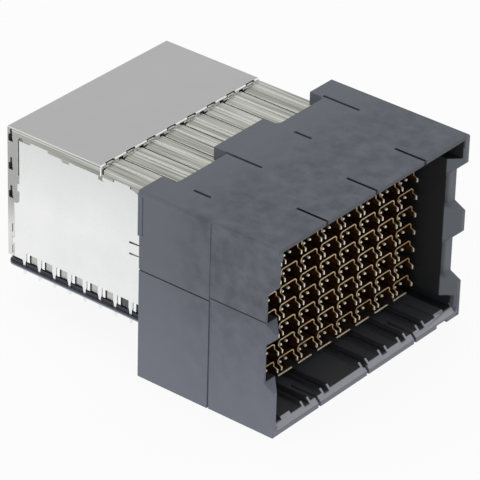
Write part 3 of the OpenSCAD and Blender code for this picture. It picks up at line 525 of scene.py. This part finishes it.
def blade_mesh(front, rear, width, thickness):
    """One flat blade round its own middle height, with a bevelled front edge."""
    mesh = bmesh.new()
    bmesh.ops.create_cube(mesh, size=1.0)
    for vertex in mesh.verts:
        x, y, z = vertex.co
        vertex.co = (x * width, front if y < 0 else rear, z * thickness * (0.5 if y < 0 else 1.0))
    bmesh.ops.bisect_plane(mesh, geom=mesh.verts[:] + mesh.edges[:] + mesh.faces[:],
                           plane_co=(0, front + thickness, 0), plane_no=(0, 1, 0))
    for vertex in mesh.verts:
        if front < vertex.co.y < rear:
            vertex.co.z = math.copysign(thickness / 2, vertex.co.z)
    data = bpy.data.meshes.new("blade_form")
    mesh.to_mesh(data)
    mesh.free()
    return data


grid_tree = bpy.data.node_groups.new("Contact grid", "GeometryNodeTree")
grid_tree.is_modifier = True
grid_inputs = {}
for name, kind in (("Geometry", "Geometry"), ("Columns", "Int"), ("Rows", "Int"), ("Width", "Float"),
                   ("Height", "Float"), ("Middle", "Vector"), ("Sheet", "Material"),
                   ("Front highlight", "Material")):
    socket = grid_tree.interface.new_socket(name, in_out="INPUT", socket_type="NodeSocket" + kind)
    grid_inputs[name] = socket.identifier
grid_tree.interface.new_socket("Geometry", in_out="OUTPUT", socket_type="NodeSocketGeometry")
given = add_node(grid_tree, "NodeGroupInput").outputs
points = add_node(grid_tree, "GeometryNodeMeshGrid", {
    "Size X": given["Width"], "Size Y": given["Height"],
    "Vertices X": given["Columns"], "Vertices Y": given["Rows"]})
raised = add_node(grid_tree, "GeometryNodeTransform", {
    "Geometry": points.outputs["Mesh"], "Translation": given["Middle"],
    "Rotation": (math.radians(90), 0, 0)})
copies = add_node(grid_tree, "GeometryNodeInstanceOnPoints", {
    "Points": raised.outputs["Geometry"], "Instance": given["Geometry"]})
real = add_node(grid_tree, "GeometryNodeRealizeInstances", {"Geometry": copies.outputs["Instances"]})
covered = add_node(grid_tree, "GeometryNodeSetMaterial", {
    "Geometry": real.outputs["Geometry"], "Material": given["Sheet"]})
facing = add_node(grid_tree, "ShaderNodeSeparateXYZ", {
    "Vector": add_node(grid_tree, "GeometryNodeInputNormal").outputs["Normal"]})
# Faces that look forward get the painted highlight.
is_front = add_node(grid_tree, "ShaderNodeMath", {0: facing.outputs["Y"], 1: -HIGHLIGHT_FACING},
                    operation="LESS_THAN")
edged = add_node(grid_tree, "GeometryNodeSetMaterial", {
    "Geometry": covered.outputs["Geometry"], "Selection": is_front.outputs[0],
    "Material": given["Front highlight"]})
add_node(grid_tree, "NodeGroupOutput", {"Geometry": edged.outputs["Geometry"]})


def on_grid(data, name, rows, height, middle, nodes):
    """Repeats a mesh over the columns and some rows of the contact grid, and joins it all to one piece.

    The rows spread over a height round a middle in Z, and the piece stands for the given CAD nodes.
    """
    seed = bpy.data.objects.new(name + "_seed", data)
    bpy.context.collection.objects.link(seed)
    modifier = seed.modifiers.new("Contact grid", "NODES")
    modifier.node_group = grid_tree
    values = {"Columns": COLUMNS, "Rows": rows, "Width": GRID_WIDTH, "Height": height,
              "Middle": (0, 0, middle), "Sheet": shaded_gold_sheet, "Front highlight": front_highlight}
    for label, value in values.items():
        modifier[grid_inputs[label]] = value
    seed.update_tag()
    bpy.context.view_layer.update()
    piece = plain_mesh(seed, name)
    bpy.data.objects.remove(seed)
    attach(piece, "root")
    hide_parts(*nodes)


on_grid(shield_mesh(shield_low.y, shield_high.y, shield_high.x - shield_low.x),
        "pair_shields", ROWS, GRID_HEIGHT, GRID_MIDDLE, [f"pair_shields_{number}" for number in WAFERS])
on_grid(blade_mesh(blade_low.y, blade_high.y, blade_high.x - blade_low.x, blade_high.z - blade_low.z),
        "ground_blades", 1, 0, (blade_low.z + blade_high.z) / 2,
        [f"ground_blade_{number}" for number in WAFERS])


# Organizer. A thin moulded plate that slides up the tails and keeps them straight for the board.
# It is ink blue; its lower rim is painted pale as lit, and its round edges carry a painted highlight.
ORGANIZER_DARK = "#14171d"
ORGANIZER_LIGHT = "#262a3a"
# The pale rim is painted light, and the edge colour is a painted highlight.
ORGANIZER_RIM_LIGHT = "#868b96"
ORGANIZER_EDGE_HIGHLIGHT = "#6f747c"
ORGANIZER_ROUND = 0.06 * MM
ORGANIZER_GRAIN = 0.14 * MM
ORGANIZER_RIM_TOP = 5.98
organizer_tones = [(ORGANIZER_RIM_LIGHT, (-FAR, -FAR, -FAR), (FAR, FAR, ORGANIZER_RIM_TOP), 0.03)]
moulded_plate = surface("Moulded LCP, ink blue", ORGANIZER_DARK, ORGANIZER_LIGHT, patch=0.9 * MM,
                        grain=ORGANIZER_GRAIN, depth=0.008 * MM, rough=(0.42, 0.55),
                        tones=organizer_tones)
plate_edge_highlight = surface("Moulded LCP, ink edge, painted highlight", ORGANIZER_EDGE_HIGHLIGHT, ORGANIZER_EDGE_HIGHLIGHT, patch=5 * MM,
                             grain=ORGANIZER_GRAIN, depth=0.004 * MM, rough=(0.4, 0.5))
organizer = rounded_copy("tail_organizer", "organizer", ORGANIZER_ROUND,
                         [moulded_plate, plate_edge_highlight])


# Studio. A white sweep under an even white sky, which the metal mirrors, with soft lamps at the left
# and in front, and a weaker one above. The camera is a long lens, solved from the grid of wafers and
# pins, and its side and rise are how far it is shifted along its own axes.
CAMERA_AZIMUTH = -51.662
CAMERA_ELEVATION = 30.635
CAMERA_ROLL = 1.639
CAMERA_DISTANCE = 530.59 * MM
CAMERA_TARGET = Vector((0, 26 * MM, 15 * MM))
CAMERA_SIDE = 1.4127 * MM
CAMERA_RISE = -2.3845 * MM
FOCAL_PIXELS = 3656.0
PICTURE_PIXELS = 480.0
SENSOR = 36.0

azimuth, elevation, roll = (math.radians(a) for a in (CAMERA_AZIMUTH, CAMERA_ELEVATION, CAMERA_ROLL))
back = Vector((math.sin(azimuth) * math.cos(elevation), -math.cos(azimuth) * math.cos(elevation),
               math.sin(elevation)))
level = Vector((math.cos(azimuth), math.sin(azimuth), 0))
upright = back.cross(level)
right = math.cos(roll) * level + math.sin(roll) * upright
up = math.cos(roll) * upright - math.sin(roll) * level
lens = bpy.data.cameras.new("Studio camera")
lens.sensor_width = SENSOR
lens.lens = FOCAL_PIXELS / PICTURE_PIXELS * SENSOR
lens.clip_start = 10 * MM
camera = bpy.data.objects.new("Studio camera", lens)
turn = Matrix((right, up, back)).transposed().to_4x4()
eye = CAMERA_TARGET + right * CAMERA_SIDE + up * CAMERA_RISE + back * CAMERA_DISTANCE
camera.matrix_world = Matrix.Translation(eye) @ turn
bpy.context.collection.objects.link(camera)
bpy.context.scene.camera = camera

FLOOR_HALF = 3.0
FLOOR_Z = -0.1 * MM
floor_mesh = bpy.data.meshes.new("floor")
corners = [(x * FLOOR_HALF, y * FLOOR_HALF, FLOOR_Z) for x, y in ((-1, -1), (1, -1), (1, 1), (-1, 1))]
floor_mesh.from_pydata(corners, [], [(0, 1, 2, 3)])
floor = bpy.data.objects.new("floor", floor_mesh)
bpy.context.collection.objects.link(floor)

# The camera and the metal see the floor as plain white. The camera keeps a trace of its shadow.
KEPT_SHADOW = 0.1
white_floor = bpy.data.materials.new("White floor")
white_floor.use_nodes = True
tree = white_floor.node_tree
tree.nodes.clear()
matte = add_node(tree, "ShaderNodeBsdfDiffuse", {"Color": linear("#f4f4f4")})
glow = add_node(tree, "ShaderNodeEmission", {"Color": linear("#ffffff"), "Strength": 1.0})
seen = add_node(tree, "ShaderNodeLightPath")
direct = add_node(tree, "ShaderNodeMath", {0: seen.outputs["Is Camera Ray"], 1: 1 - KEPT_SHADOW},
                  operation="MULTIPLY")
mirrored = add_node(tree, "ShaderNodeMath", {0: seen.outputs["Is Glossy Ray"], 1: direct.outputs[0]},
                    operation="MAXIMUM")
mixed = add_node(tree, "ShaderNodeMixShader", {
    "Fac": mirrored.outputs[0], 1: matte.outputs[0], 2: glow.outputs[0]})
add_node(tree, "ShaderNodeOutputMaterial", {"Surface": mixed.outputs[0]})
floor_mesh.materials.append(white_floor)

SKY_STRENGTH = 0.75
world = bpy.data.worlds.new("White studio")
world.use_nodes = True
bpy.context.scene.world = world
tree = world.node_tree
tree.nodes.clear()
sky = add_node(tree, "ShaderNodeBackground", {"Color": linear("#ffffff"), "Strength": SKY_STRENGTH})
white = add_node(tree, "ShaderNodeBackground", {"Color": linear("#ffffff"), "Strength": 1.0})
seen = add_node(tree, "ShaderNodeLightPath")
straight = add_node(tree, "ShaderNodeMath", {
    0: seen.outputs["Is Camera Ray"], 1: seen.outputs["Is Glossy Ray"]}, operation="MAXIMUM")
chosen = add_node(tree, "ShaderNodeMixShader", {
    "Fac": straight.outputs[0], 1: sky.outputs[0], 2: white.outputs[0]})
add_node(tree, "ShaderNodeOutputWorld", {"Surface": chosen.outputs[0]})

# Each lamp is a square that faces the middle of the object, with its place and size in metres and
# its power in watts.
for name, place, size, power in (("Top lamp", (0.05, 0.15, 0.7), 0.5, 0.25),
                                 ("Left lamp", (-0.6, -0.05, 0.06), 0.4, 1.5),
                                 ("Front lamp", (0.05, -0.9, 0.2), 0.3, 1.2)):
    lamp = bpy.data.lights.new(name, "AREA")
    lamp.size = size
    lamp.energy = power
    holder = bpy.data.objects.new(name, lamp)
    holder.location = place
    holder.rotation_euler = (CAMERA_TARGET - Vector(place)).to_track_quat("-Z", "Y").to_euler()
    bpy.context.collection.objects.link(holder)

bpy.context.scene.view_settings.view_transform = "Standard"
